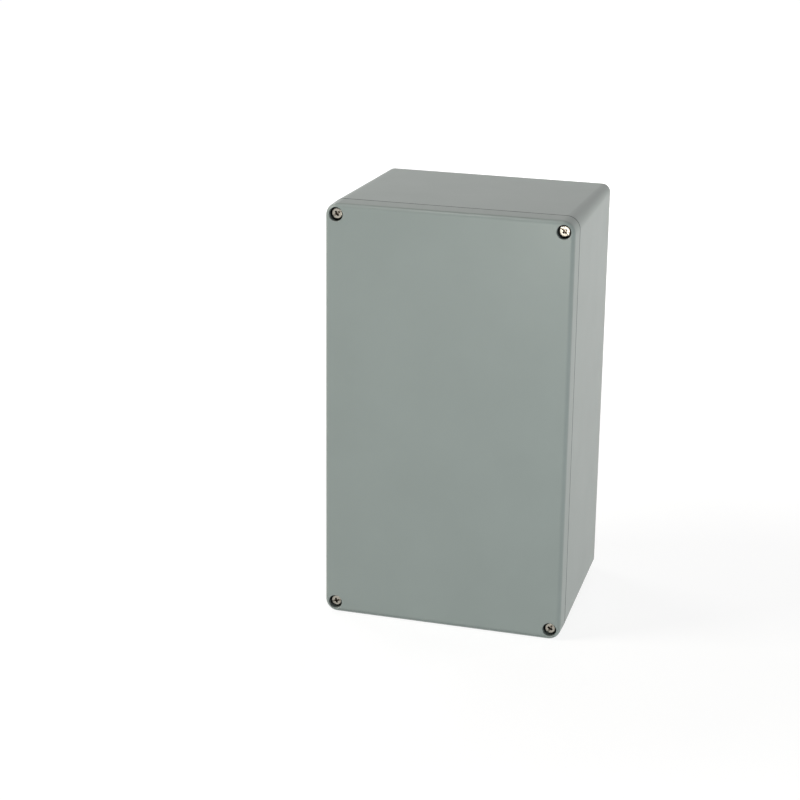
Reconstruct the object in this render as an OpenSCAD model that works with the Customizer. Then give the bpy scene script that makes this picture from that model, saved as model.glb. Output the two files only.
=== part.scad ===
// Sealed die cast aluminium enclosure: a deep base, a shallow lid and captive lid screws.
// It stands on its short side with the lid towards -Y. X is its width, Y its depth, Z its height.
// The shapes below are drawn lying on the back, lid up, and upright() stands them up.

/* [Case] */
// Width at the joint between base and lid
case_w = 230; // [200:1:320]
// Height at the joint between base and lid
case_h = 400; // [280:1:600]
// Depth from the lid's face to the back
case_d = 184; // [110:1:230]
// Radius of the four corners at the joint
corner_r = 12; // [10:0.5:14]
// Thickness of the base's floor
floor_t = 4.5; // [3.5:0.5:8]
// How far each outer wall of the base leans in from the joint to the back
base_taper = 4.3; // [1:0.1:4.4]
// How far each inner wall of the base leans in from its mouth to the floor
cavity_taper = 1.4; // [0.8:0.1:2]
// Radius of the edge round the back
back_edge_r = 4; // [2:0.5:6]
// Radius of the fillet between the floor and the walls
floor_fillet_r = 4; // [2:0.5:5]

/* [Lid] */
// Depth of the lid, from its face to the joint
lid_d = 20.5; // [19:0.5:30]
// Thickness of the lid's plate
lid_t = 4.5; // [3:0.5:6]
// How far each side of the lid leans in from the joint to the face
lid_taper = 0.3; // [0.1:0.1:0.8]
// How far each side of the lid's hollow leans in from its mouth to the plate
hollow_taper = 0.3; // [0.1:0.1:0.8]
// Radius of the edge round the lid's face
face_edge_r = 4; // [2:0.5:6]
// Radius of the fillet inside the lid
lid_fillet_r = 2.5; // [1:0.5:3]
// Gap that shows between lid and base
joint_gap = 0.4; // [0.2:0.1:1]
// Chamfer on the two edges at the joint
joint_chamfer = 0.4; // [0.2:0.1:1]

/* [Seal] */
// Distance from the outer edge to the middle of the seal
seal_inset = 5.4; // [5:0.1:7]
// Width of the groove in the lid
groove_w = 5; // [4:0.1:5.6]
// Depth of the groove from the joint
groove_d = 13; // [10:0.5:14]
// Side clearance of the seal in its groove
seal_clearance = 0.1; // [0:0.05:0.3]
// Height of the seal strip
seal_t = 4; // [3:0.5:6]
// Width of the base's tongue that presses on the seal
tongue_w = 2.4; // [2:0.1:3]
// Thickness of the lid's lip inside the groove
lip_w = 2.5; // [2:0.1:3.5]
// Depth that the lip reaches into the base
lip_reach = 3; // [1:0.5:6]
// Radius of the seal's turns
seal_turn_r = 9; // [8.5:0.5:12]

/* [Lid screws] */
// Distance of a lid screw from both outer edges
screw_inset = 10.3; // [10:0.1:11]
// Diameter of a screw's well
well_dia = 13; // [11.5:0.1:13.5]
// Depth of a screw's well
well_depth = 7.7; // [6:0.1:9]
// Chamfer at a well's mouth
well_chamfer = 0.4; // [0.2:0.1:0.8]
// Thread diameter
screw_dia = 6; // [5:0.1:6.2]
// Diameter of the neck above the thread
neck_dia = 4.8; // [4:0.1:4.9]
// Diameter of the head
head_dia = 10; // [8.5:0.1:10.5]
// Height of the head
head_h = 3.9; // [3:0.1:4.5]
// Length under the head
screw_len = 35; // [34:0.5:45]
// Length of the thread
thread_len = 12; // [8:0.5:14]
// Width of the slot in every screw head
slot_w = 1.6; // [1:0.1:2]
// Depth of the slot
slot_d = 1.7; // [1:0.1:2]
// Length of the cross recess's arms, end to end
cross_len = 5.2; // [4:0.1:6]
// Depth of the cross recess
cross_d = 2.6; // [1.5:0.1:3]
// Thickness of the ring that keeps a screw in the lid
retainer_t = 1.5; // [1:0.1:2]
// Diameter of that ring
retainer_dia = 10.3; // [9:0.1:11]
// Diameter of the raised pads where lid and base meet round a screw
pad_dia = 14; // [12:0.5:15]

/* [Wall fixing] */
// Distance of a fixing hole from the long outer edge
fixing_inset_x = 27.5; // [27:0.5:40]
// Distance of a fixing hole from the short outer edge
fixing_inset_z = 15; // [14.5:0.5:25]
// Diameter of a fixing hole
fixing_dia = 6.6; // [4.5:0.1:8]
// Diameter of the screwdriver channel at its floor
channel_dia = 12; // [11:0.5:13]
// Diameter of the channel at its mouth
channel_mouth_dia = 13; // [12:0.5:14]
// Thickness of the channel's floor
channel_floor_t = 6; // [4:0.5:10]
// Wall between the channel and the inside of the box
column_wall = 3.5; // [3:0.5:8]

/* [Inside] */
// Distance of a plate boss from the long outer edge
boss_inset_x = 35; // [32:0.5:60]
// Distance of a plate boss from the short outer edge
boss_inset_z = 50; // [45:0.5:90]
// Diameter of a boss at its top
boss_dia = 12; // [10:0.5:14]
// Height of a boss
boss_h = 8; // [5:0.5:14]
// How much wider a boss is at its foot, on each side
boss_taper = 0.3; // [0.1:0.1:0.8]
// Radius of the fillet round a boss's foot
boss_fillet_r = 1.5; // [0.5:0.5:2.5]
// Core diameter of the bosses' tapped holes
tap_dia = 5; // [4:0.1:5.5]
// Depth of the tapped holes
tap_depth = 10; // [6:0.5:10.5]
// Distance of the earth points from the lower outer edge
earth_from_edge = 50; // [45:1:120]
// Length of an earth screw under its head
earth_len = 12; // [8:0.5:12.5]
// Thickness of an earth point's clamp washer
clamp_t = 1.2; // [1:0.1:2]
// Diameter of the clamp washer
clamp_dia = 13; // [11:0.5:16]
// Height of the clamp washer's rim
clamp_rim = 0.8; // [0.4:0.1:1.2]
// Thickness of a spring washer
spring_t = 1.4; // [1:0.1:2]
// Diameter of a spring washer
spring_dia = 11; // [10:0.5:11.5]

/* [Clearances] */
// Radial clearance of a thread in its hole
thread_clearance = 0.1; // [0.05:0.05:0.3]
// Radial clearance of a shank that passes through a hole
pass_clearance = 0.3; // [0.2:0.05:0.5]
// Radial clearance of a retaining ring in its pocket
retainer_clearance = 0.1; // [0.05:0.05:0.2]
// Room beyond a screw's end
end_clearance = 2; // [1:0.5:4]

/* [Hidden] */
$fn = 64;
cut = 1; // overlap of a cutter past the face it opens
root = 0.1; // depth to which an added form is rooted in what carries it
edge_blend = 0.005; // extra radius that makes an outer rounding cross the faces that it joins
fillet_blend = 0.08; // the same for a fillet where a tapering wall meets a floor

// turning of each lid screw's slot: top left, top right, bottom left, bottom right
slot_turns = [35, -43, 15, 60];
corners = [[-1, 1], [1, 1], [-1, -1], [1, -1]];

joint_z = case_d - lid_d;
land_z = joint_z - joint_gap / 2;
skirt_z = joint_z + joint_gap / 2;
groove_top_z = joint_z + groove_d;
tongue_top_z = groove_top_z - seal_t;
lip_end_z = joint_z - lip_reach;

half_w = case_w / 2;
half_h = case_h / 2;
screw_x = half_w - screw_inset;
screw_y = half_h - screw_inset;
fixing_x = half_w - fixing_inset_x;
fixing_y = half_h - fixing_inset_z;

// the seal's middle line runs along the walls and steps round the corner columns
seal_x = half_w - seal_inset;
seal_y = half_h - seal_inset;
step_x = fixing_x - channel_mouth_dia / 2 - column_wall + tongue_w / 2;
step_y = fixing_y - channel_mouth_dia / 2 - column_wall + tongue_w / 2;

well_floor_z = case_d - well_depth;
screw_tip_z = well_floor_z - screw_len;
screw_relief_z = joint_z - thread_len - 2 * thread_clearance;
pass_dia = screw_dia + 2 * pass_clearance;
thread_bore_dia = screw_dia + 2 * thread_clearance;
retainer_bore_dia = neck_dia + 2 * thread_clearance;
pocket_dia = retainer_dia + 2 * retainer_clearance;
pocket_d = retainer_t + retainer_clearance;

lid_relief_dia = 10; // hollow in the lid above a channel
lid_relief_d = lid_d - well_depth - lid_t;
boss_x = half_w - boss_inset_x;
boss_y = half_h - boss_inset_z;
earth_y = -half_h + earth_from_edge;
spring_split = 1.2; // gap in a spring washer
screw_chamfer = 0.6;
cross_w = 1.4;

function corner_name(c) = str(c[1] > 0 ? "top" : "bottom", c[0] < 0 ? "_left" : "_right");

paint = [0.55, 0.6, 0.57];
steel = [0.78, 0.76, 0.72];
seal_colour = [0.12, 0.12, 0.12];
retainer_colour = [0.85, 0.84, 0.8];

// ---- building blocks ----

module upright() {
    translate([0, case_d / 2, half_h]) rotate([90, 0, 0]) children();
}

// rounded rectangle swept by a profile: x is the distance outside the rectangle of corner centres
module swept_block(half_x, half_y, low, high) {
    translate([-half_x - root, -half_y - root, low])
        cube([2 * (half_x + root), 2 * (half_y + root), high - low]);
    for (side = [0, 180]) rotate([0, 0, side]) {
        translate([half_x, half_y, 0]) rotate([90, 0, 0]) linear_extrude(2 * half_y) children();
        translate([-half_x, half_y, 0]) rotate([90, 0, 90]) linear_extrude(2 * half_x) children();
        translate([half_x, half_y, 0]) rotate_extrude(angle = 90) children();
        translate([-half_x, half_y, 0]) rotate([0, 0, 90]) rotate_extrude(angle = 90) children();
    }
}

// straight stretch of a profile, with its +x on the right of the way it heads
module bar(start, length, heading) {
    translate(start) rotate([0, 0, heading]) translate([0, length, 0])
        rotate([90, 0, 0]) linear_extrude(length) children();
}

// quarter turn of a profile round a centre that lies inside the loop
module inner_turn(centre) {
    translate(centre) rotate_extrude(angle = 90) translate([seal_turn_r, 0]) children();
}

// quarter turn round a centre that lies outside the loop
module outer_turn(centre) {
    translate(centre) rotate([0, 0, 180]) rotate_extrude(angle = 90)
        translate([seal_turn_r, 0]) mirror([1, 0]) children();
}

// a profile run round the seal's line: x is the distance outside the line
module seal_run() {
    r = seal_turn_r;
    for (mx = [0, 1], my = [0, 1]) mirror([mx, 0, 0]) mirror([0, my, 0]) {
        bar([seal_x, 0], step_y - r, 0) children();
        inner_turn([seal_x - r, step_y - r]) children();
        bar([seal_x - r, step_y], seal_x - step_x - 2 * r, 90) children();
        outer_turn([step_x + r, step_y + r]) children();
        bar([step_x, step_y + r], seal_y - step_y - 2 * r, 0) children();
        inner_turn([step_x - r, seal_y - r]) children();
        bar([step_x - r, seal_y], step_x - r, 90) children();
    }
}

module strip(low_x, high_x, low_z, high_z) {
    translate([low_x, low_z]) square([high_x - low_x, high_z - low_z]);
}

// profile of a space that tapers below z = 0 to a filleted bottom, and rises straight above it
module space_profile(mouth_r, depth, taper, fillet, rise) {
    bottom_r = mouth_r - taper;
    difference() {
        polygon([[0, -depth], [bottom_r, -depth], [mouth_r, 0], [mouth_r, rise], [0, rise]]);
        difference() {
            translate([bottom_r - fillet, -depth - cut]) square(fillet + cut);
            translate([bottom_r - fillet, fillet - depth]) circle(fillet + fillet_blend);
        }
    }
}

// profile of what stands at a column's rounded edge, with the same fillet at its foot
module column_edge_profile(mouth_r, depth, taper, fillet, rise) {
    bottom_r = mouth_r + taper;
    low = -depth - cut;
    high = rise + cut;
    polygon([
        [0, low], [bottom_r, low], [bottom_r, -depth], [mouth_r, 0], [mouth_r, high], [0, high]
    ]);
    difference() {
        translate([bottom_r - cut, low]) square(fillet + cut);
        translate([bottom_r + fillet, fillet - depth]) circle(fillet + fillet_blend);
    }
}

// space inside the seal's line: full width between the columns, stepped round them
module inner_space(inset, depth, taper, fillet, rise) {
    mouth_r = seal_turn_r - inset;
    edge_r = seal_turn_r + inset;
    cell = edge_r + taper + fillet + cut;
    swept_block(seal_x - seal_turn_r, step_y - seal_turn_r, -depth, rise)
        space_profile(mouth_r, depth, taper, fillet, rise);
    swept_block(step_x - seal_turn_r, seal_y - seal_turn_r, -depth, rise)
        space_profile(mouth_r, depth, taper, fillet, rise);
    for (mx = [0, 1], my = [0, 1]) mirror([mx, 0, 0]) mirror([0, my, 0])
        translate([step_x + seal_turn_r, step_y + seal_turn_r, 0]) difference() {
            translate([-cell, -cell, -depth]) cube([cell, cell, depth + rise]);
            rotate_extrude() column_edge_profile(edge_r, depth, taper, fillet, rise);
        }
}

// outside of a casting, from its rounded end at z = 0 to its chamfered edge at the joint
module casting_outside(length, taper, edge_r) {
    end_r = corner_r - taper;
    slope = taper / length;
    centre_r = end_r + edge_r * (slope - sqrt(1 + slope * slope));
    swept_block(half_w - corner_r, half_h - corner_r, 0, length) difference() {
        polygon([
            [0, 0], [end_r, 0], [corner_r - slope * joint_chamfer, length - joint_chamfer],
            [corner_r - joint_chamfer, length], [0, length]
        ]);
        difference() {
            translate([centre_r, -cut])
                square([edge_r + taper + cut, edge_r * (1 - sin(atan(slope))) + cut]);
            translate([centre_r, edge_r]) circle(edge_r + edge_blend);
        }
    }
}

module at_corners(x, y) {
    for (c = corners) translate([c[0] * x, c[1] * y, 0]) children();
}

// a boss on a floor at z = 0, with a filleted foot
module boss() {
    top_r = boss_dia / 2;
    foot_r = top_r + boss_taper;
    rotate_extrude() {
        polygon([[0, -root], [foot_r, -root], [foot_r, 0], [top_r, boss_h], [0, boss_h]]);
        difference() {
            translate([0, -root]) square([foot_r + boss_fillet_r, root + boss_fillet_r]);
            translate([foot_r + boss_fillet_r, boss_fillet_r])
                circle(boss_fillet_r + fillet_blend);
        }
    }
}

// screw with its head's seat at z = 0, pointing down
module combination_screw(length, thread, turn) {
    difference() {
        rotate_extrude() polygon([
            [0, -length], [screw_dia / 2 - screw_chamfer, -length],
            [screw_dia / 2, screw_chamfer - length], [screw_dia / 2, thread - length],
            [neck_dia / 2, thread - length], [neck_dia / 2, 0], [head_dia / 2, 0],
            [head_dia / 2, head_h - screw_chamfer], [head_dia / 2 - screw_chamfer, head_h],
            [0, head_h]
        ]);
        rotate([0, 0, turn]) {
            translate([0, 0, head_h - slot_d / 2 + cut / 2])
                cube([head_dia + cut, slot_w, slot_d + cut], center = true);
            for (arm = [0, 90]) rotate([0, 0, arm])
                translate([0, 0, head_h - cross_d / 2 + cut / 2])
                    cube([cross_len, cross_w, cross_d + cut], center = true);
        }
    }
}

// ---- castings ----

module base() color(paint) upright() difference() {
    union() {
        difference() {
            union() {
                casting_outside(land_z, base_taper, back_edge_r);
                seal_run()
                    strip(-tongue_w / 2 - root, tongue_w / 2, land_z - root, tongue_top_z);
            }
            translate([0, 0, land_z]) inner_space(
                tongue_w / 2, land_z - floor_t, cavity_taper, floor_fillet_r, groove_d + cut
            );
        }
        at_corners(screw_x, screw_y) translate([0, 0, land_z - root])
            cylinder(h = root + joint_gap / 2, d = pad_dia);
        at_corners(boss_x, boss_y) translate([0, 0, floor_t]) boss();
        translate([0, earth_y, floor_t]) boss();
    }
    at_corners(screw_x, screw_y) {
        translate([0, 0, screw_tip_z - end_clearance])
            cylinder(h = case_d, d = thread_bore_dia);
        translate([0, 0, screw_relief_z]) cylinder(h = case_d, d = pass_dia);
    }
    at_corners(fixing_x, fixing_y) {
        translate([0, 0, -cut]) cylinder(h = case_d, d = fixing_dia);
        rotate_extrude() polygon([
            [0, channel_floor_t], [channel_dia / 2, channel_floor_t],
            [channel_mouth_dia / 2, land_z], [channel_mouth_dia / 2, land_z + cut],
            [0, land_z + cut]
        ]);
    }
    at_corners(boss_x, boss_y)
        translate([0, 0, floor_t + boss_h - tap_depth]) cylinder(h = tap_depth + cut, d = tap_dia);
    translate([0, earth_y, floor_t + boss_h - tap_depth])
        cylinder(h = tap_depth + cut, d = thread_bore_dia);
}

module lid() color(paint) upright() difference() {
    union() {
        difference() {
            union() {
                translate([0, 0, case_d]) mirror([0, 0, 1])
                    casting_outside(case_d - skirt_z, lid_taper, face_edge_r);
                seal_run() strip(
                    -groove_w / 2 - lip_w - root, root - groove_w / 2, lip_end_z, skirt_z + root
                );
            }
            translate([0, 0, lip_end_z]) mirror([0, 0, 1]) inner_space(
                groove_w / 2 + lip_w, case_d - lid_t - lip_end_z, hollow_taper, lid_fillet_r, cut
            );
        }
        at_corners(screw_x, screw_y) translate([0, 0, joint_z])
            cylinder(h = joint_gap / 2 + root, d = pad_dia);
        translate([0, earth_y, case_d - lid_t]) mirror([0, 0, 1]) boss();
    }
    seal_run() strip(-groove_w / 2, groove_w / 2, lip_end_z - cut, groove_top_z);
    at_corners(screw_x, screw_y) {
        translate([0, 0, joint_z - cut]) cylinder(h = lid_d, d = pass_dia);
        translate([0, 0, joint_z - cut]) cylinder(h = pocket_d + cut, d = pocket_dia);
        translate([0, 0, well_floor_z]) cylinder(h = well_depth + cut, d = well_dia);
        translate([0, 0, case_d - well_chamfer])
            cylinder(h = well_chamfer, d1 = well_dia, d2 = well_dia + 2 * well_chamfer);
    }
    at_corners(fixing_x, fixing_y) translate([0, 0, skirt_z - cut])
        cylinder(h = lid_relief_d + cut, d = lid_relief_dia);
    translate([0, earth_y, case_d - lid_t - boss_h - cut])
        cylinder(h = tap_depth + cut, d = thread_bore_dia);
}

// ---- seal and screws ----

module lid_seal() color(seal_colour) upright() {
    half = groove_w / 2 - seal_clearance;
    seal_run() strip(-half, half, tongue_top_z, groove_top_z);
}

module lid_screw(index) color(steel) upright()
    translate([corners[index][0] * screw_x, corners[index][1] * screw_y, well_floor_z])
        combination_screw(screw_len, thread_len, slot_turns[index]);

module screw_retainer(index) color(retainer_colour) upright()
    translate([corners[index][0] * screw_x, corners[index][1] * screw_y, joint_z + pocket_d])
        mirror([0, 0, 1]) ring(retainer_dia, retainer_bore_dia, retainer_t);

module ring(outer_dia, bore_dia, thickness) {
    difference() {
        cylinder(h = thickness, d = outer_dia);
        translate([0, 0, -cut]) cylinder(h = thickness + 2 * cut, d = bore_dia);
    }
}

// ---- earth points: clamp washer, spring washer and screw, stacked from z = 0 ----

module clamp_washer() {
    ring(clamp_dia, pass_dia, clamp_t);
    translate([0, 0, clamp_t]) ring(clamp_dia, spring_dia + 2 * pass_clearance, clamp_rim);
}

module spring_washer() {
    difference() {
        ring(spring_dia, pass_dia, spring_t);
        translate([0, -spring_split / 2, -cut])
            cube([spring_dia, spring_split, spring_t + 2 * cut]);
    }
}

module at_base_earth() {
    upright() translate([0, earth_y, floor_t + boss_h]) children();
}

module at_lid_earth() {
    upright() translate([0, earth_y, case_d - lid_t - boss_h]) mirror([0, 0, 1]) children();
}

module stacked_clamp_washer() color(steel) clamp_washer();

module stacked_spring_washer() color(steel) translate([0, 0, clamp_t]) spring_washer();

module stacked_earth_screw() color(steel) translate([0, 0, clamp_t + spring_t])
    combination_screw(earth_len, earth_len - clamp_t - spring_t, 0);

base();
lid();
lid_seal();
for (i = [0 : len(corners) - 1]) {
    lid_screw(i);
    screw_retainer(i);
}
at_base_earth() stacked_earth_screw();  // base_earth_screw
at_base_earth() stacked_spring_washer();  // base_earth_spring_washer
at_base_earth() stacked_clamp_washer();  // base_earth_clamp_washer
at_lid_earth() stacked_earth_screw();  // lid_earth_screw
at_lid_earth() stacked_spring_washer();  // lid_earth_spring_washer
at_lid_earth() stacked_clamp_washer();  // lid_earth_clamp_washer
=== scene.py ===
import math
import bmesh
import bpy
from mathutils import Matrix, Vector


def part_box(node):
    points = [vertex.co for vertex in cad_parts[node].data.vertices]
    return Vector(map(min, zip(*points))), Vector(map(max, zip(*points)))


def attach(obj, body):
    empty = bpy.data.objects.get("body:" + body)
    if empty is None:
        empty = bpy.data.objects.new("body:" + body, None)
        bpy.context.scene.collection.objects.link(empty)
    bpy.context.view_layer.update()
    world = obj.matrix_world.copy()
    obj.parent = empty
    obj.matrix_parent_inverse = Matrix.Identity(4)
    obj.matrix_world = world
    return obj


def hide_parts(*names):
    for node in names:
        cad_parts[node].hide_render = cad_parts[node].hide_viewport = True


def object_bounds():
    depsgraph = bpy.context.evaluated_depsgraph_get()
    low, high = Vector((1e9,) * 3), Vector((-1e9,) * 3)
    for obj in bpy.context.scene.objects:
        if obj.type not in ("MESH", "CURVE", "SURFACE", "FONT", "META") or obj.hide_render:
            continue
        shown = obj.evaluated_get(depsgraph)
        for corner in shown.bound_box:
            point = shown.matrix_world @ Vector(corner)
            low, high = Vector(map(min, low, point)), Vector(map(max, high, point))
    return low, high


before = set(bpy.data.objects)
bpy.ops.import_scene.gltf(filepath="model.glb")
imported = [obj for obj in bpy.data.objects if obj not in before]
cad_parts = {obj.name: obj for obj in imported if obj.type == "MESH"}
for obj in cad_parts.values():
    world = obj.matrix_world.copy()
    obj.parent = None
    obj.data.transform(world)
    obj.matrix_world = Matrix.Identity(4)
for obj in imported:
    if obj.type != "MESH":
        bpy.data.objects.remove(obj)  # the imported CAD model: bodies, nodes, joints and record
cadLow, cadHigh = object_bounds()  # the CAD model's box, before anything is added

# Dressing of a sealed die cast aluminium box: powder coat outside, bare casting inside,
# turned steel screws, rolled threads, washers, retaining rings and a moulded seal.
# Metres throughout; X is the width, Y the depth (lid towards -Y), Z the height.

mm = 0.001
cornerNames = ["top_left", "top_right", "bottom_left", "bottom_right"]


cameraView = {
    "lens": 92.1,  # mm
    "sensor": 36.0,  # mm
    "farEnd": 60.0,
    "place": (0.45757, -1.80112, 0.81201),
    "aim": (-0.0424, -0.092, 0.2203),
    "roll": 0.66,  # degrees, clockwise
}

floorLook = {
    "size": 12.0,  # side of the square floor
    "nearGlow": 0.86,  # white that the floor gives beside the box, where its shadow falls
    "farGlow": 1.0,  # and further away
    "fadeFrom": 0.35,  # metres from the box's middle over which one becomes the other
    "fadeTo": 1.2,
    "grey": 0.24,  # share that the lamps light, where the shadow falls
    "bounce": 0.85,  # colour of the floor for the light that it sends back
}

worldLight = {"shown": 1.0, "fill": 0.02}  # white backdrop, and the soft light from all round

lamps = {
    # name: place, aim, side of the square, watts, colour
    "leftSoftbox": ((-2.100, -1.090, 1.58), (0, 0, 0.2), 1.1, 42.5, (1.00, 0.98, 0.91)),
    "leftBackSoftbox": ((-1.327, 0.766, 1.486), (0, 0, 0.2), 0.8, 9.0, (1.00, 0.98, 1.00)),
    "frontSoftbox": ((0.990, -1.715, 0.28), (0, 0, 0.05), 0.5, 18.6, (0.93, 0.97, 1.00)),
    "rightBackSoftbox": ((1.715, 0.990, 0.43), (0, 0, 0.05), 0.8, 13.0, (1.00, 0.95, 0.90)),
    "backFill": ((0.0, 1.98, 0.478), (0, 0, 0.2), 0.8, 14.0, (1.00, 0.99, 0.97)),
    "topGlint": ((-0.350, -0.560, 1.77), (0, -0.09, 0.4), 0.3, 7.0, (1.00, 0.99, 0.97)),
    "cornerGlint": ((-0.024, -0.857, 0.230), (0.115, -0.092, 0.4), 0.13, 0.74, (1, 0.96, 0.88)),
}

# lamps that light what faces them, but don't shine in the coat
unreflected = ["frontSoftbox", "rightBackSoftbox", "backFill"]
# and the ones that only shine: along the lid's upper edge, and by its upper right corner
onlyReflected = ["topGlint", "cornerGlint"]


def turnedTo(place, aim):
    # the turn of a camera or a lamp at place that looks at aim
    return (Vector(place) - Vector(aim)).to_track_quat("Z", "Y").to_matrix().to_4x4()


def makeCamera():
    camera = bpy.data.objects.new("camera", bpy.data.cameras.new("camera"))
    bpy.context.scene.collection.objects.link(camera)
    camera.data.lens = cameraView["lens"]
    camera.data.sensor_width = cameraView["sensor"]
    camera.data.clip_end = cameraView["farEnd"]
    place = cameraView["place"]
    roll = Matrix.Rotation(math.radians(cameraView["roll"]), 4, "Z")
    camera.matrix_world = Matrix.Translation(place) @ turnedTo(place, cameraView["aim"]) @ roll
    bpy.context.scene.camera = camera
    print("camera placed")


def makeLamps():
    for name, (place, aim, side, watts, colour) in lamps.items():
        light = bpy.data.lights.new(name, "AREA")
        light.shape, light.size = "SQUARE", side
        light.energy = watts
        light.color = colour
        lamp = bpy.data.objects.new(name, light)
        bpy.context.scene.collection.objects.link(lamp)
        lamp.matrix_world = Matrix.Translation(place) @ turnedTo(place, aim)
        lamp.visible_camera = False  # no lamp shows when the camera looks from elsewhere
        lamp.visible_diffuse = name not in onlyReflected
        lamp.visible_glossy = name not in unreflected
    print("lamps placed")


def lookedAt(tree):
    # 1 for what the camera, a reflection or a view through glass sees, 0 for the light itself
    path = tree.nodes.new("ShaderNodeLightPath")
    first = tree.nodes.new("ShaderNodeMath")
    first.operation = "MAXIMUM"
    tree.links.new(path.outputs["Is Camera Ray"], first.inputs[0])
    tree.links.new(path.outputs["Is Glossy Ray"], first.inputs[1])
    second = tree.nodes.new("ShaderNodeMath")
    second.operation = "MAXIMUM"
    tree.links.new(first.outputs[0], second.inputs[0])
    tree.links.new(path.outputs["Is Transmission Ray"], second.inputs[1])
    return second.outputs[0]


def makeWorld():
    world = bpy.data.worlds.new("studio")
    bpy.context.scene.world = world
    world.use_nodes = True
    tree = world.node_tree
    tree.nodes.clear()
    shown = tree.nodes.new("ShaderNodeBackground")
    shown.inputs["Strength"].default_value = worldLight["shown"]
    shown.inputs["Color"].default_value = (1, 1, 1, 1)
    fill = tree.nodes.new("ShaderNodeBackground")
    fill.inputs["Color"].default_value = (1, 1, 1, 1)
    fill.inputs["Strength"].default_value = worldLight["fill"]
    mix = tree.nodes.new("ShaderNodeMixShader")
    output = tree.nodes.new("ShaderNodeOutputWorld")
    tree.links.new(lookedAt(tree), mix.inputs[0])
    tree.links.new(fill.outputs[0], mix.inputs[1])
    tree.links.new(shown.outputs[0], mix.inputs[2])
    tree.links.new(mix.outputs[0], output.inputs["Surface"])
    print("backdrop made")


def makeFloor():
    half = floorLook["size"] / 2
    mesh = bpy.data.meshes.new("floor")
    mesh.from_pydata([(-half, -half, 0), (half, -half, 0), (half, half, 0), (-half, half, 0)],
                     [], [(0, 1, 2, 3)])
    floor = bpy.data.objects.new("floor", mesh)
    bpy.context.scene.collection.objects.link(floor)
    material = bpy.data.materials.new("whiteFloor")
    material.use_nodes = True
    tree = material.node_tree
    tree.nodes.clear()
    bounce = tree.nodes.new("ShaderNodeBsdfDiffuse")
    bounce.inputs["Color"].default_value = (*[floorLook["bounce"]] * 3, 1)
    lit = tree.nodes.new("ShaderNodeBsdfDiffuse")
    lit.inputs["Color"].default_value = (*[floorLook["grey"]] * 3, 1)
    glow = tree.nodes.new("ShaderNodeEmission")
    away = tree.nodes.new("ShaderNodeVectorMath")
    away.operation = "LENGTH"
    tree.links.new(objectPlace(tree), away.inputs[0])
    strength = mapRange(tree, away.outputs["Value"], floorLook["fadeFrom"], floorLook["fadeTo"],
                        floorLook["nearGlow"], floorLook["farGlow"])
    tree.links.new(strength, glow.inputs["Strength"])
    seen = tree.nodes.new("ShaderNodeAddShader")
    mix = tree.nodes.new("ShaderNodeMixShader")
    output = tree.nodes.new("ShaderNodeOutputMaterial")
    tree.links.new(lit.outputs[0], seen.inputs[0])
    tree.links.new(glow.outputs[0], seen.inputs[1])
    tree.links.new(lookedAt(tree), mix.inputs[0])
    tree.links.new(bounce.outputs[0], mix.inputs[1])
    tree.links.new(seen.outputs[0], mix.inputs[2])
    below = tree.nodes.new("ShaderNodeMixShader")  # seen from below the floor is clear
    clear = tree.nodes.new("ShaderNodeBsdfTransparent")
    tree.links.new(tree.nodes.new("ShaderNodeNewGeometry").outputs["Backfacing"], below.inputs[0])
    tree.links.new(mix.outputs[0], below.inputs[1])
    tree.links.new(clear.outputs[0], below.inputs[2])
    tree.links.new(below.outputs[0], output.inputs["Surface"])
    mesh.materials.append(material)
    print("floor made")


patchEdges = (0.35, 0.65)  # values of a noise that become the two ends of a pattern in patches
softEdges = (0.3, 0.7)  # and of a softer one


def feed(tree, socket, value):
    # a value goes on the socket itself, another node's output is linked to it
    if isinstance(value, bpy.types.NodeSocket):
        tree.links.new(value, socket)
    else:
        socket.default_value = value


def newMaterial(name):
    material = bpy.data.materials.new(name)
    material.use_nodes = True
    return material, material.node_tree, material.node_tree.nodes["Principled BSDF"]


def objectPlace(tree):
    return tree.nodes.new("ShaderNodeTexCoord").outputs["Object"]


def splitPlace(tree, place):
    node = tree.nodes.new("ShaderNodeSeparateXYZ")
    feed(tree, node.inputs[0], place)
    return node.outputs


def calc(tree, kind, first, second=0.0):
    node = tree.nodes.new("ShaderNodeMath")
    node.operation = kind
    feed(tree, node.inputs[0], first)
    feed(tree, node.inputs[1], second)
    return node.outputs[0]


def noisePattern(tree, place, grain, detail=2.0, rough=0.5, stretch=None):
    # grain is the size of the pattern in metres
    node = tree.nodes.new("ShaderNodeTexNoise")
    if stretch:
        scale = tree.nodes.new("ShaderNodeVectorMath")
        scale.operation = "MULTIPLY"
        feed(tree, scale.inputs[0], place)
        scale.inputs[1].default_value = stretch
        place = scale.outputs[0]
    feed(tree, node.inputs["Vector"], place)
    node.inputs["Scale"].default_value = 1.0 / grain
    node.inputs["Detail"].default_value = detail
    node.inputs["Roughness"].default_value = rough
    return node.outputs["Fac"]


def ringPattern(tree, distance, width):
    # uneven rings round an axis, as a turning tool leaves them
    node = tree.nodes.new("ShaderNodeTexNoise")
    node.noise_dimensions = "1D"
    feed(tree, node.inputs["W"], distance)
    node.inputs["Scale"].default_value = 1.0 / width
    node.inputs["Detail"].default_value = 1.0
    return node.outputs["Fac"]


def mapRange(tree, value, fromLow, fromHigh, low, high, smooth=False):
    node = tree.nodes.new("ShaderNodeMapRange")
    node.interpolation_type = "SMOOTHSTEP" if smooth else "LINEAR"
    feed(tree, node.inputs["Value"], value)
    feed(tree, node.inputs["From Min"], fromLow)
    feed(tree, node.inputs["From Max"], fromHigh)
    feed(tree, node.inputs["To Min"], low)
    feed(tree, node.inputs["To Max"], high)
    return node.outputs["Result"]


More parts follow.
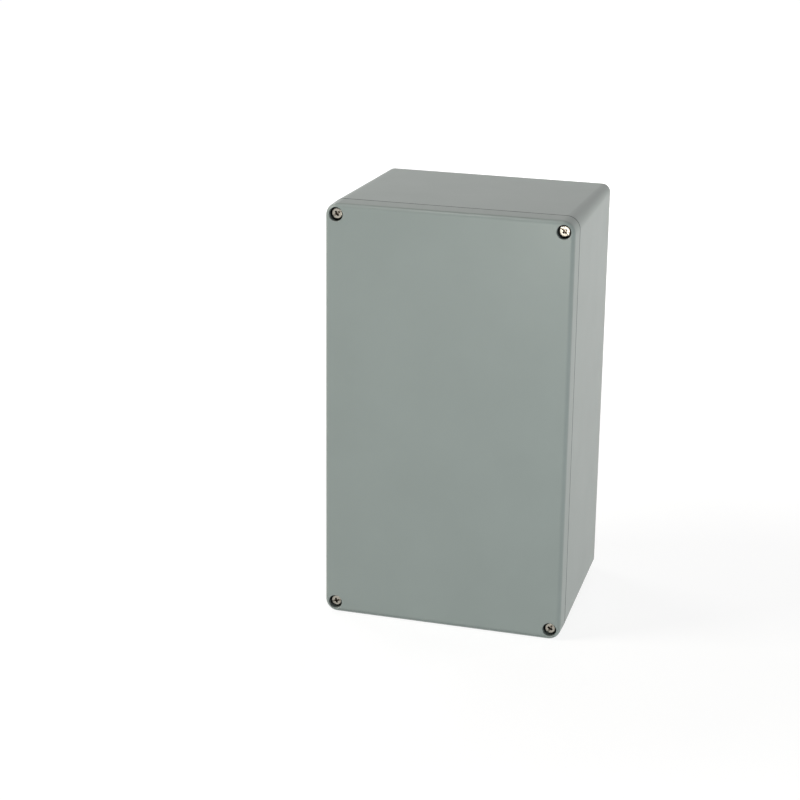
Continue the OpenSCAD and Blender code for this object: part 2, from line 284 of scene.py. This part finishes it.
def patches(tree, place, grain, detail, rough=0.5, stretch=None):
    # a noise drawn out to patches of 0 and 1 with soft edges between them
    noise = noisePattern(tree, place, grain, detail, rough, stretch)
    return mapRange(tree, noise, *patchEdges, 0, 1)


def mixColours(tree, share, first, second):
    node = tree.nodes.new("ShaderNodeMix")
    node.data_type = "RGBA"
    feed(tree, node.inputs["Factor"], share)
    feed(tree, node.inputs[6], first)
    feed(tree, node.inputs[7], second)
    return node.outputs[2]


def mixValues(tree, share, first, second):
    node = tree.nodes.new("ShaderNodeMix")
    feed(tree, node.inputs["Factor"], share)
    feed(tree, node.inputs[2], first)
    feed(tree, node.inputs[3], second)
    return node.outputs[0]


def bump(tree, height, depth, under=None):
    # depth is the height of the relief in metres; under is the coarser relief that carries it
    node = tree.nodes.new("ShaderNodeBump")
    feed(tree, node.inputs["Height"], height)
    node.inputs["Distance"].default_value = depth
    if under is not None:
        feed(tree, node.inputs["Normal"], under)
    return node.outputs[0]


paint = {
    "colour": (0.285, 0.325, 0.308, 1),  # greenish silver grey
    "shade": (0.275, 0.314, 0.297, 1),  # where the coat lies a little thinner
    "cloudSize": 70 * mm,  # patches of that shade
    "roughness": 0.42,
    "roughnessSpread": 0.012,
    "roughnessSize": 30 * mm,
    "coat": 0.10,  # the paint's smooth skin
    "coatRoughness": 0.2,
    "skinDepth": 0.02 * mm,  # orange peel of that skin, which shows in its sheen
    "peelSize": 1.7 * mm,  # orange peel of the powder coat
    "peelDepth": 0.006 * mm,
    "grainSize": 0.45 * mm,
    "grainDepth": 0.0015 * mm,
    "waveSize": 26 * mm,  # slight unevenness of the casting under the coat
    "waveDepth": 0.006 * mm,
    "shine": 0.44,  # of an open surface; less in a hollow, with the painted shade
    "deep": (0.020, 0.022, 0.021, 1),  # painted shade: the colour in the joint and down in the wells, where no light comes
    "reach": 6 * mm,  # how near another surface must be to paint shade on this one
    "samples": 5,  # rays that look for it
    "hollow": (0.27, 0.92),  # openness at which the painted shade of a hollow is darkest, and gone
    "footing": (2 * mm, 6 * mm),  # height under which the floor doesn't count as near
    "joint": -71.5 * mm,  # where lid and base meet
    "jointHalf": (0.62 * mm, 0.95 * mm),  # half width of the painted shade line in the joint's gap, and of its fading
    "jointShade": 0.30,  # how much of the light is left in it
    "rimFacing": (0.8, 0.95),  # the rims face each other: there the line fades, and is gone
}

casting = {
    "colour": (0.56, 0.57, 0.57, 1),
    "shade": (0.49, 0.50, 0.505, 1),
    "roughness": 0.48,
    "roughnessSpread": 0.07,
    "grainSize": 0.9 * mm,
    "grainDepth": 0.03 * mm,
    "flowSize": 20 * mm,  # cold flow marks of the metal
    "flowDetail": 4.0,
    "flowRoughness": 0.6,
    "flowStretch": (1.0, 1.0, 0.6),  # longer along the box's height
}


def openness(tree, reach, samples):
    # 1 on an open surface, less where other surfaces lie within reach
    node = tree.nodes.new("ShaderNodeAmbientOcclusion")
    node.samples = samples
    node.inputs["Distance"].default_value = reach
    return node.outputs["AO"]


def openLight(tree, place):
    # painted shade: 1 in the open, 0 deep in a well or hollow, and little in the joint's gap
    y, z = splitPlace(tree, place)[1:]
    near = openness(tree, paint["reach"], paint["samples"])
    light = mapRange(tree, near, *paint["hollow"], 0, 1)
    light = calc(tree, "MAXIMUM", light, mapRange(tree, z, *paint["footing"], 1, 0))
    # painted shade of the joint's gap: a dark line along it, gone where the rims face each other
    fromJoint = calc(tree, "ABSOLUTE", calc(tree, "SUBTRACT", y, paint["joint"]))
    normal = tree.nodes.new("ShaderNodeTexCoord").outputs["Normal"]
    facing = calc(tree, "ABSOLUTE", splitPlace(tree, normal)[1])
    gapShade = mapRange(tree, fromJoint, *paint["jointHalf"], 1, 0, smooth=True)
    gapShade = calc(tree, "MULTIPLY", gapShade, mapRange(tree, facing, *paint["rimFacing"], 1, 0))
    return calc(tree, "MULTIPLY", light, mapRange(tree, gapShade, 0, 1, 1, paint["jointShade"]))


def paintRelief(tree, place):
    # the casting's waves, the orange peel and the grain, each on the one before
    wave = bump(tree, noisePattern(tree, place, paint["waveSize"]), paint["waveDepth"])
    peel = bump(tree, noisePattern(tree, place, paint["peelSize"], detail=1.0),
                paint["peelDepth"], wave)
    return bump(tree, noisePattern(tree, place, paint["grainSize"], detail=1.0),
                paint["grainDepth"], peel)


def coatedCasting(name, masked):
    # powder coat, and the bare casting where masked(tree, place) gives 1
    material, tree, shader = newMaterial(name)
    place = objectPlace(tree)
    bare = masked(tree, place)
    light = openLight(tree, place)
    cloud = patches(tree, place, paint["cloudSize"], detail=3.0)
    coat = mixColours(tree, cloud, paint["colour"], paint["shade"])
    # painted shade: the coat turns dark in hollows, down in the wells and in the joint's gap
    coat = mixColours(tree, light, paint["deep"], coat)
    flow = patches(tree, place, casting["flowSize"], casting["flowDetail"],
                   casting["flowRoughness"], casting["flowStretch"])
    metal = mixColours(tree, flow, casting["colour"], casting["shade"])
    feed(tree, shader.inputs["Base Color"], mixColours(tree, bare, coat, metal))
    feed(tree, shader.inputs["Metallic"], bare)
    # painted shade also takes the shine out of the same places
    feed(tree, shader.inputs["Specular IOR Level"], mapRange(tree, light, 0, 1, 0, paint["shine"]))
    shader.inputs["Coat Weight"].default_value = paint["coat"]
    shader.inputs["Coat Roughness"].default_value = paint["coatRoughness"]
    middle, spread = paint["roughness"], paint["roughnessSpread"]
    coatRough = mapRange(tree, noisePattern(tree, place, paint["roughnessSize"]), *softEdges,
                         middle - spread, middle + spread)
    middle, spread = casting["roughness"], casting["roughnessSpread"]
    metalRough = mapRange(tree, flow, 0, 1, middle - spread, middle + spread)
    feed(tree, shader.inputs["Roughness"], mixValues(tree, bare, coatRough, metalRough))
    blast = bump(tree, noisePattern(tree, place, casting["grainSize"], detail=3.0, rough=0.7),
                 casting["grainDepth"])
    normals = tree.nodes.new("ShaderNodeMix")
    normals.data_type = "VECTOR"
    feed(tree, normals.inputs["Factor"], bare)
    feed(tree, normals.inputs[4], paintRelief(tree, place))
    feed(tree, normals.inputs[5], blast)
    feed(tree, shader.inputs["Normal"], normals.outputs[1])
    skin = bump(tree, noisePattern(tree, place, paint["peelSize"], detail=1.0), paint["skinDepth"])
    feed(tree, shader.inputs["Coat Normal"], skin)
    return material


insideLine = {
    # half sizes of the outline that parts the coat from the bare inside: the seal's middle line
    "wide": 109.6 * mm, "wideStep": 176.2 * mm,
    "tallStep": 78.7 * mm, "tall": 194.6 * mm,
    "turn": 9 * mm,  # radius of the line's corners
    "fade": 0.5 * mm,
    "wander": 0.5 * mm,  # the coat's edge isn't a straight line
    "wanderSize": 4 * mm,
    "floor": 3.2 * mm,  # depth under the outer face at which the coat ends
}


def insideMask(outerFace, inward):
    # 1 inside the seal's line and behind the outer face; inward is +1 or -1 along Y
    middle = (cadLow.z + cadHigh.z) / 2

    def masked(tree, place):
        x, y, z = splitPlace(tree, place)
        alongX = calc(tree, "ABSOLUTE", x)
        alongZ = calc(tree, "ABSOLUTE", calc(tree, "SUBTRACT", z, middle))
        wide = calc(tree, "MINIMUM", calc(tree, "SUBTRACT", insideLine["wide"], alongX),
                    calc(tree, "SUBTRACT", insideLine["wideStep"], alongZ))
        tall = calc(tree, "MINIMUM", calc(tree, "SUBTRACT", insideLine["tallStep"], alongX),
                    calc(tree, "SUBTRACT", insideLine["tall"], alongZ))
        turn = insideLine["turn"]
        besideX = calc(tree, "SUBTRACT", insideLine["tallStep"] + turn, alongX)
        besideZ = calc(tree, "SUBTRACT", insideLine["wideStep"] + turn, alongZ)
        reach = calc(tree, "SQRT", calc(tree, "ADD", calc(tree, "MULTIPLY", besideX, besideX),
                                        calc(tree, "MULTIPLY", besideZ, besideZ)))
        rounding = calc(tree, "MINIMUM", calc(tree, "SUBTRACT", reach, turn),
                        calc(tree, "MINIMUM", besideX, besideZ))
        across = calc(tree, "MAXIMUM", calc(tree, "MAXIMUM", wide, tall), rounding)
        depth = calc(tree, "MULTIPLY", calc(tree, "SUBTRACT", y, outerFace), inward)
        behind = calc(tree, "SUBTRACT", depth, insideLine["floor"])
        inside = calc(tree, "MINIMUM", across, behind)
        wander = insideLine["wander"]
        wander = mapRange(tree, noisePattern(tree, place, insideLine["wanderSize"]), 0, 1,
                          -wander, wander)
        edge = insideLine["fade"] / 2
        return mapRange(tree, calc(tree, "ADD", inside, wander), -edge, edge, 0, 1, smooth=True)
    return masked


steel = {
    "colour": (0.40, 0.375, 0.325, 1),  # dull stainless steel, a little warm
    "worn": (0.30, 0.28, 0.24, 1),
    "wearSize": 1.4 * mm,
    "wearEdges": (0.4, 0.65),
    "roughness": 0.22,
    "wornRoughness": 0.14,  # added where it is worn
    "ringWidth": 0.22 * mm,  # marks of the turning tool
    "ringDepth": 0.004 * mm,
    "grainSize": 0.12 * mm,
    "grainDepth": 0.002 * mm,
    "grimeAndShade": (0.060, 0.042, 0.028, 1),  # grime in the recess and the thread, with painted shade that deepens down the recess
    "grimeAndShadeDepth": (0.15 * mm, 0.8 * mm),  # depths under the face where the grime and painted shade begin, and where they cover
    "grimeAndShadeReach": 0.93,  # share of the head's radius at which it starts to thin out
    "crossGrimeAndShade": (2.3 * mm, 2.9 * mm),  # radii between which it thins out in the slot
    "slotGrimeAndShade": 0.25,  # what is left of it in the slot's ends
    "crossFloor": (0.3 * mm, 0.6 * mm),  # radii of the floor that the driver's tip rubs clean
    "patchSize": 0.5 * mm,
    "patchEdges": (0.2, 0.6),
    "thinGrime": 0.55,  # share of it where it lies thinnest
}


def recessGrimeAndShade(tree, place, radius, depth, headRadius):
    # 1 where grime and painted shade fill the slot and the cross, darker with depth
    start, full = steel["grimeAndShadeDepth"]
    deep = mapRange(tree, depth, start, full, 0, 1, smooth=True)
    within = mapRange(tree, radius, headRadius * steel["grimeAndShadeReach"], headRadius, 1, 0)
    cross = mapRange(tree, radius, *steel["crossGrimeAndShade"], 1, steel["slotGrimeAndShade"])
    worn = mapRange(tree, radius, *steel["crossFloor"], 0, 1)
    patch = mapRange(tree, noisePattern(tree, place, steel["patchSize"]), *steel["patchEdges"],
                     steel["thinGrime"], 1)
    grimeAndShade = calc(tree, "MULTIPLY", calc(tree, "MULTIPLY", deep, within), patch)
    return calc(tree, "MULTIPLY", grimeAndShade, calc(tree, "MULTIPLY", cross, worn))


def turnedSteel(name, roughness=steel["roughness"], headRadius=0.0):
    # the piece's own Z is its axis, with the face at zero; a head's recess holds grime and painted
    # shade
    material, tree, shader = newMaterial(name)
    place = objectPlace(tree)
    x, y, z = splitPlace(tree, place)
    radius = calc(tree, "SQRT", calc(tree, "ADD", calc(tree, "MULTIPLY", x, x),
                                     calc(tree, "MULTIPLY", y, y)))
    wear = mapRange(tree, noisePattern(tree, place, steel["wearSize"], detail=3.0),
                    *steel["wearEdges"], 0, 1)
    colour = mixColours(tree, wear, steel["colour"], steel["worn"])
    if headRadius:
        depth = calc(tree, "MULTIPLY", z, -1.0)
        grimeAndShade = recessGrimeAndShade(tree, place, radius, depth, headRadius)
        # grime and painted shade: the recess turns dark brown further down
        colour = mixColours(tree, grimeAndShade, colour, steel["grimeAndShade"])
    feed(tree, shader.inputs["Base Color"], colour)
    shader.inputs["Metallic"].default_value = 1.0
    feed(tree, shader.inputs["Roughness"],
         mapRange(tree, wear, 0, 1, roughness, roughness + steel["wornRoughness"]))
    rings = bump(tree, ringPattern(tree, radius, steel["ringWidth"]), steel["ringDepth"])
    fine = bump(tree, noisePattern(tree, place, steel["grainSize"]), steel["grainDepth"], rings)
    feed(tree, shader.inputs["Normal"], fine)
    return material


fineness = {
    # straight pieces in a whole turn
    "head": 72,
    "thread": 36,
    "ring": 64,
    "split": 72,
    # and in one rounded corner
    "headEdge": 5,
    "recessEdge": 3,
    "softEdge": 2,
    "ringEdge": 3,
    "sealEdge": 3,
    "sealTurn": 10,
}

sharpFrom = 35  # degrees between two faces from which the edge between them shows
softFrom = 30  # and from which it is bevelled


def rounded(points, steps, closed=False):
    # points are (x, y, radius of the corner); gives the outline with its corners as arcs
    outline = []
    for index, (x, y, radius) in enumerate(points):
        atEnd = not closed and index in (0, len(points) - 1)
        if radius == 0 or atEnd:
            outline.append((x, y))
            continue
        corner = Vector((x, y))
        before = (Vector(points[index - 1][:2]) - corner).normalized()
        after = (Vector(points[(index + 1) % len(points)][:2]) - corner).normalized()
        half = before.angle(after) / 2
        centre = corner + (before + after).normalized() * (radius / math.sin(half))
        start = (corner + before * (radius / math.tan(half)) - centre).normalized()
        end = (corner + after * (radius / math.tan(half)) - centre).normalized()
        for step in range(steps + 1):
            outline.append(tuple(centre + start.slerp(end, step / steps) * radius))
    return outline


def joinRings(mesh, first, second):
    # quads between two rings of vertices, triangles where one of them is a single vertex
    count = max(len(first), len(second))
    for k in range(count):
        corners = [first[k % len(first)], first[(k + 1) % len(first)],
                   second[(k + 1) % len(second)], second[k % len(second)]]
        kept = [v for i, v in enumerate(corners) if v not in corners[:i]]
        mesh.faces.new(kept)


def revolve(mesh, outline, steps, closed=False):
    # outline is a list of (radius, height) that is run round the Z axis
    rings = []
    for radius, height in outline:
        if radius < 1e-7:  # on the axis itself
            rings.append([mesh.verts.new((0, 0, height))])
            continue
        angles = [math.tau * k / steps for k in range(steps)]
        rings.append([mesh.verts.new((radius * math.cos(a), radius * math.sin(a), height))
                      for a in angles])
    for first, second in zip(rings, rings[1:]):
        joinRings(mesh, first, second)
    if closed:
        joinRings(mesh, rings[-1], rings[0])


def loft(mesh, sections):
    # closed sections of equal length, one above the other, with flat ends
    rings = [[mesh.verts.new(point) for point in section] for section in sections]
    for first, second in zip(rings, rings[1:]):
        joinRings(mesh, first, second)
    mesh.faces.new(rings[0])
    mesh.faces.new(rings[-1])


ridge = {
    "sunk": 0.1,  # depth of its foot in the core, as a share of its height
    "footHalf": 0.42,  # half widths, as shares of the pitch
    "crestHalf": 0.08,
    "startWidth": 0.4,  # share of its width with which it begins and ends
    "runOut": 0.5,  # turns over which it grows from the root
}


def helicalRidge(mesh, root, crest, pitch, low, high):
    # one thread's ridge between two heights; it runs out to the root at both ends
    steps = fineness["thread"]
    count = int(steps * (high - low) / pitch)
    rings = []
    for k in range(count + 1):
        angle = math.tau * k / steps
        height = low + pitch * k / steps
        grown = min(1.0, k / steps / ridge["runOut"], (count - k) / steps / ridge["runOut"])
        width = pitch * (ridge["startWidth"] + (1 - ridge["startWidth"]) * grown)
        tip = root + (crest - root) * grown
        foot = root - (crest - root) * ridge["sunk"]
        wide, narrow = ridge["footHalf"] * width, ridge["crestHalf"] * width
        ring = []
        for radius, offset in ((foot, -wide), (tip, -narrow), (tip, narrow), (foot, wide)):
            ring.append(mesh.verts.new((radius * math.cos(angle), radius * math.sin(angle),
                                        height + offset)))
        rings.append(ring)
    for first, second in zip(rings, rings[1:]):
        joinRings(mesh, first, second)
    mesh.faces.new(rings[0])
    mesh.faces.new(rings[-1])


def newPiece(name, mesh, place=(0, 0, 0), turn=None):
    # makes the bmesh an object at a place
    bmesh.ops.recalc_face_normals(mesh, faces=mesh.faces)
    data = bpy.data.meshes.new(name)
    mesh.to_mesh(data)
    mesh.free()
    piece = bpy.data.objects.new(name, data)
    bpy.context.scene.collection.objects.link(piece)
    piece.matrix_world = Matrix.Translation(place) @ (turn or Matrix.Identity(4))
    return piece


def shadeSmooth(piece):
    data = piece.data
    data.polygons.foreach_set("use_smooth", [True] * len(data.polygons))
    data.set_sharp_from_angle(angle=math.radians(sharpFrom))


def cutAway(piece, *cutters):
    # takes the cutters' shapes out of the piece and removes them
    for cutter in cutters:
        cutter.matrix_world = piece.matrix_world @ cutter.matrix_world
        modifier = piece.modifiers.new("cut", "BOOLEAN")
        modifier.object, modifier.operation, modifier.solver = cutter, "DIFFERENCE", "EXACT"
    applyModifiers(piece)
    for cutter in cutters:
        bpy.data.objects.remove(cutter)


def applyModifiers(piece):
    bpy.context.view_layer.update()
    seen = piece.evaluated_get(bpy.context.evaluated_depsgraph_get())
    data = bpy.data.meshes.new_from_object(seen)
    piece.modifiers.clear()
    piece.data = data


def softenEdges(piece, width):
    modifier = piece.modifiers.new("soft edges", "BEVEL")
    modifier.width, modifier.segments = width, fineness["softEdge"]
    modifier.limit_method, modifier.angle_limit = "ANGLE", math.radians(softFrom)
    modifier.harden_normals = False
    applyModifiers(piece)


screw = {
    "headHeight": 3.89 * mm,  # a hair short, so that the seat doesn't share the lid's plane
    "headEdge": 0.75 * mm,  # rounding of the head's upper edge
    "headFoot": 0.2 * mm,
    "neck": 4.8 * mm,
    "thread": 6.0 * mm,
    "core": 4.95 * mm,
    "pitch": 1.0 * mm,
    "lidThreadLength": 12 * mm,
    "slotWidth": 1.6 * mm,
    "slotDepth": 1.6 * mm,
    "crossLength": 5.2 * mm,
    "crossWidth": 1.9 * mm,
    "crossDepth": 2.6 * mm,
    "crossMouth": (1.12, 1.08, 0.5 * mm),  # shares of length and width at a height over the face
    "crossTaper": [(1.0, 1.0, 0.0), (0.62, 0.78, 0.7), (0.36, 0.6, 1.0)],  # and at shares of its depth
    "slotFlare": 1.08,  # the slot's width at its mouth, as a share of that at its floor
    "slotFloorEdge": 0.25 * mm,
    "crossInner": 0.55,  # roundings of the cross, as shares of half its width
    "crossOuter": 0.35,
    "neckEdge": 0.15 * mm,
    "runOut": 0.5 * mm,  # length over which the neck narrows to the thread's core
    "tip": 0.9 * mm,  # length of the chamfered end
    "tipInset": 0.7 * mm,
    "threadStart": 0.5 * mm,  # from the tip
    "softEdge": 0.06 * mm,
    "turns": [35, -43, 15, 60],  # degrees that each lid screw's slot has come to rest at
}

lidwards = Matrix.Rotation(math.radians(90), 4, "X")  # a piece's own Z points out of the lid
inwards = Matrix.Rotation(math.radians(-90), 4, "X")  # a piece's own Z points into the box


def crossSection(scaleLength, scaleWidth, height):
    # outline of a cross recess with rounded inner corners
    long = screw["crossLength"] / 2 * scaleLength
    wide = screw["crossWidth"] / 2 * scaleWidth
    inner, outer = wide * screw["crossInner"], wide * screw["crossOuter"]
    points = []
    for quarter in range(4):
        turn = Matrix.Rotation(math.tau * quarter / 4, 2)
        for x, y, radius in ((long, -wide, outer), (long, wide, outer), (wide, wide, inner)):
            spot = turn @ Vector((x, y))
            points.append((spot.x, spot.y, radius))
    return [(x, y, height) for x, y in rounded(points, fineness["recessEdge"], closed=True)]


def screwRecess(name):
    # cutters for the slot and the tapered cross, with the head's face at zero
    slotCut = bmesh.new()
    half, deep = screw["slotWidth"] / 2, screw["slotDepth"]
    mouth, edge = half * screw["slotFlare"], screw["slotFloorEdge"]
    above, reach = 1 * mm, 8 * mm  # how far the cutter stands over the face and past the head
    outline = rounded([(-mouth, above, 0), (-half, -deep, edge),
                       (half, -deep, edge), (mouth, above, 0)], fineness["recessEdge"])
    loft(slotCut, [[(-reach, y, z) for y, z in outline], [(reach, y, z) for y, z in outline]])
    crossCut = bmesh.new()
    below = [crossSection(scaleLength, scaleWidth, -screw["crossDepth"] * depth)
             for scaleLength, scaleWidth, depth in screw["crossTaper"]]
    loft(crossCut, [crossSection(*screw["crossMouth"])] + below)
    return newPiece(name + "Slot", slotCut), newPiece(name + "Cross", crossCut)


def makeScrew(name, node, body, turn, spin, threadLength):
    # node's box gives the head's width and the length over all
    low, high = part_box(node)
    centre = (low + high) / 2
    radius, length = (high.x - low.x) / 2, high.y - low.y
    headTop = low.y if turn is lidwards else high.y
    head, neck = screw["headHeight"], screw["neck"] / 2
    core, crest = screw["core"] / 2, screw["thread"] / 2
    threadTop = threadLength - length
    chamfer = core - screw["tipInset"]
    mesh = bmesh.new()
    revolve(mesh, rounded([
        (0, 0, 0), (radius, 0, screw["headEdge"]), (radius, -head, screw["headFoot"]),
        (neck, -head, screw["neckEdge"]), (neck, threadTop + screw["runOut"], 0),
        (core, threadTop, 0), (core, screw["tip"] - length, 0), (chamfer, -length, 0),
        (0, -length, 0),
    ], fineness["headEdge"]), fineness["head"])
    piece = newPiece(name, mesh, (centre.x, headTop, centre.z), turn @ spin)
    cutAway(piece, *screwRecess(name))
    softenEdges(piece, screw["softEdge"])
    thread = bmesh.new()
    thread.from_mesh(piece.data)
    helicalRidge(thread, core, crest, screw["pitch"], screw["threadStart"] - length, threadTop)
    thread.to_mesh(piece.data)
    thread.free()
    piece.data.materials.clear()
    piece.data.materials.append(turnedSteel(name + "Steel", headRadius=radius))
    shadeSmooth(piece)
    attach(piece, body)
    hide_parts(node)
    return piece


def makeScrews():
    for corner, degrees in zip(cornerNames, screw["turns"]):
        node = "lid_screw_" + corner
        spin = Matrix.Rotation(math.radians(degrees), 4, "Z")
        makeScrew("turned_" + node, node, node, lidwards, spin,
                  screw["lidThreadLength"])
    for part, body, turn in (("base", "case", lidwards), ("lid", "lid", inwards)):
        node = part + "_earth_screw"
        low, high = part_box(part + "_earth_spring_washer")
        washers = high.y - low.y + clampWasher["plate"]
        low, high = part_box(node)
        threadLength = high.y - low.y - screw["headHeight"] - washers
        makeScrew("turned_" + node, node, body, turn, Matrix.Identity(4),
                  threadLength)
    print("screws made")


clampWasher = {
    "plate": 1.2 * mm,
    "bore": 6.6 * mm,
    "rimWidth": 0.7 * mm,
    "edge": 0.2 * mm,
    "roughness": 0.3,
}

springWasher = {
    "bore": 6.6 * mm,
    "split": 1.2 * mm,
    "slant": 9,  # degrees by which the cut leans
    "edge": 0.25 * mm,
    "roughness": 0.34,
}

retainer = {
    "bore": 5.0 * mm,
    "edge": 0.3 * mm,
    "colour": (0.72, 0.70, 0.64, 1),
    "shade": (0.62, 0.60, 0.53, 1),
    "roughness": 0.45,
}


def washerFrame(node, turn):
    # place, width and thickness of a washer from its node's box
    low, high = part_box(node)
    centre = (low + high) / 2
    bottom = high.y if turn is lidwards else low.y
    return (centre.x, bottom, centre.z), (high.x - low.x) / 2, high.y - low.y


def finishWasher(piece, node, body, material):
    piece.data.materials.append(material)
    shadeSmooth(piece)
    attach(piece, body)
    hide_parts(node)


def makeClampWasher(node, body, turn):
    place, radius, height = washerFrame(node, turn)
    bore, plate, edge = clampWasher["bore"] / 2, clampWasher["plate"], clampWasher["edge"]
    rim = radius - clampWasher["rimWidth"]
    mesh = bmesh.new()
    revolve(mesh, rounded([
        (bore, 0, edge), (radius, 0, edge), (radius, height, edge), (rim, height, edge),
        (rim, plate, edge), (bore, plate, edge),
    ], fineness["ringEdge"], closed=True), fineness["ring"], closed=True)
    piece = newPiece("pressed_" + node, mesh, place, turn)
    material = turnedSteel(node + "Steel", clampWasher["roughness"])
    finishWasher(piece, node, body, material)


def makeSpringWasher(node, body, turn):
    place, radius, height = washerFrame(node, turn)
    bore, edge = springWasher["bore"] / 2, springWasher["edge"]
    section = rounded([(bore, 0, edge), (radius, 0, edge), (radius, height, edge),
                       (bore, height, edge)], fineness["ringEdge"], closed=True)
    opening = springWasher["split"] / (radius + bore)
    lean = math.radians(springWasher["slant"])
    steps = fineness["split"]
    mesh = bmesh.new()
    rings = []
    for k in range(steps + 1):
        share = k / steps
        ring = []
        for r, z in section:
            # the cut leans, and the ends lean with it
            angle = opening + (math.tau - 2 * opening) * share + lean * (z / height - 0.5)
            ring.append(mesh.verts.new((r * math.cos(angle), r * math.sin(angle), z)))
        rings.append(ring)
    for first, second in zip(rings, rings[1:]):
        joinRings(mesh, first, second)
    mesh.faces.new(rings[0])
    mesh.faces.new(rings[-1])
    piece = newPiece("split_" + node, mesh, place, turn)
    material = turnedSteel(node + "Steel", springWasher["roughness"])
    finishWasher(piece, node, body, material)


moulding = {
    "toneSize": 2.5 * mm,
    "smoother": 0.05,  # taken from the roughness at one end of the tone
    "rougher": 0.08,  # and added at the other
    "grainSize": 0.3 * mm,
    "grainDepth": 0.006 * mm,
}


def mouldedSurface(name, look):
    # nylon or rubber as it comes out of its mould
    material, tree, shader = newMaterial(name)
    place = objectPlace(tree)
    tone = patches(tree, place, moulding["toneSize"], detail=3.0)
    feed(tree, shader.inputs["Base Color"], mixColours(tree, tone, look["colour"], look["shade"]))
    low, high = look["roughness"] - moulding["smoother"], look["roughness"] + moulding["rougher"]
    feed(tree, shader.inputs["Roughness"], mapRange(tree, tone, 0, 1, low, high))
    grain = noisePattern(tree, place, moulding["grainSize"])
    feed(tree, shader.inputs["Normal"], bump(tree, grain, moulding["grainDepth"]))
    return material


def makeRetainer(corner):
    node = "screw_retainer_" + corner
    place, radius, height = washerFrame(node, inwards)
    bore, edge = retainer["bore"] / 2, retainer["edge"]
    mesh = bmesh.new()
    section = rounded([(bore, 0, edge), (radius, 0, edge), (radius, height, edge),
                       (bore, height, edge)], fineness["ringEdge"], closed=True)
    revolve(mesh, section, fineness["ring"], closed=True)
    piece = newPiece("moulded_" + node, mesh, place, inwards)
    finishWasher(piece, node, "lid", mouldedSurface(node + "Plastic", retainer))


def makeRings():
    for part, body, turn in (("base", "case", lidwards), ("lid", "lid", inwards)):
        makeClampWasher(part + "_earth_clamp_washer", body, turn)
        makeSpringWasher(part + "_earth_spring_washer", body, turn)
    for corner in cornerNames:
        makeRetainer(corner)
    print("washers and rings made")


seal = {
    "edge": 0.55 * mm,
    "markWidth": 2.4 * mm,  # the line that the base's tongue has pressed into it
    "markDepth": 0.16 * mm,
    "markEdge": 0.2 * mm,
    "markTaper": 0.9,  # width of its floor, as a share of that of its mouth
    "colour": (0.020, 0.021, 0.022, 1),
    "shade": (0.034, 0.035, 0.036, 1),
    "roughness": 0.62,
}


def makeSeal():
    low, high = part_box("lid_seal")
    middle = (low.z + high.z) / 2
    half = (high.x - low.x) / 2 - insideLine["wide"]
    stepX, stepZ = insideLine["tallStep"], insideLine["wideStep"]
    farX, farZ, turn = insideLine["wide"], insideLine["tall"], insideLine["turn"]
    corners = [(farX, -stepZ), (farX, stepZ), (stepX, stepZ), (stepX, farZ), (-stepX, farZ),
               (-stepX, stepZ), (-farX, stepZ), (-farX, -stepZ), (-stepX, -stepZ),
               (-stepX, -farZ), (stepX, -farZ), (stepX, -stepZ)]
    route = rounded([(x, z, turn) for x, z in corners], fineness["sealTurn"], closed=True)
    route = [Vector(spot) for spot in route]
    edge, markEdge = seal["edge"], seal["markEdge"]
    mark, floor = seal["markWidth"] / 2, high.y - seal["markDepth"]
    foot = mark * seal["markTaper"]
    section = rounded([
        (-half, low.y, edge), (half, low.y, edge), (half, high.y, edge), (mark, high.y, markEdge),
        (foot, floor, 0), (-foot, floor, 0), (-mark, high.y, markEdge), (-half, high.y, edge),
    ], fineness["sealEdge"], closed=True)
    mesh = bmesh.new()
    rings = []
    for k, spot in enumerate(route):
        ahead = (route[(k + 1) % len(route)] - spot).normalized()
        behind = (spot - route[k - 1]).normalized()
        along = (ahead + behind).normalized()
        out = Vector((along.y, -along.x)) / max(0.5, along.dot(ahead))  # longer at a turn
        rings.append([mesh.verts.new((spot.x + out.x * side, y, spot.y + out.y * side + middle))
                      for side, y in section])
    for first, second in zip(rings, rings[1:] + rings[:1]):
        joinRings(mesh, first, second)
    piece = newPiece("moulded_lid_seal", mesh)
    piece.data.materials.append(mouldedSurface("sealRubber", seal))
    shadeSmooth(piece)
    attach(piece, "lid")
    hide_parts("lid_seal")
    print("seal made")


def dressCastings():
    base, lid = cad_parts["base"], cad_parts["lid"]
    base.data.materials.clear()
    base.data.materials.append(coatedCasting("basePaint", insideMask(cadHigh.y, -1)))
    lid.data.materials.clear()
    lid.data.materials.append(coatedCasting("lidPaint", insideMask(cadLow.y, 1)))
    print("castings dressed")


makeCamera()
makeWorld()
makeLamps()
makeFloor()
dressCastings()
makeScrews()
makeRings()
makeSeal()
bpy.context.scene.view_settings.view_transform = "Standard"
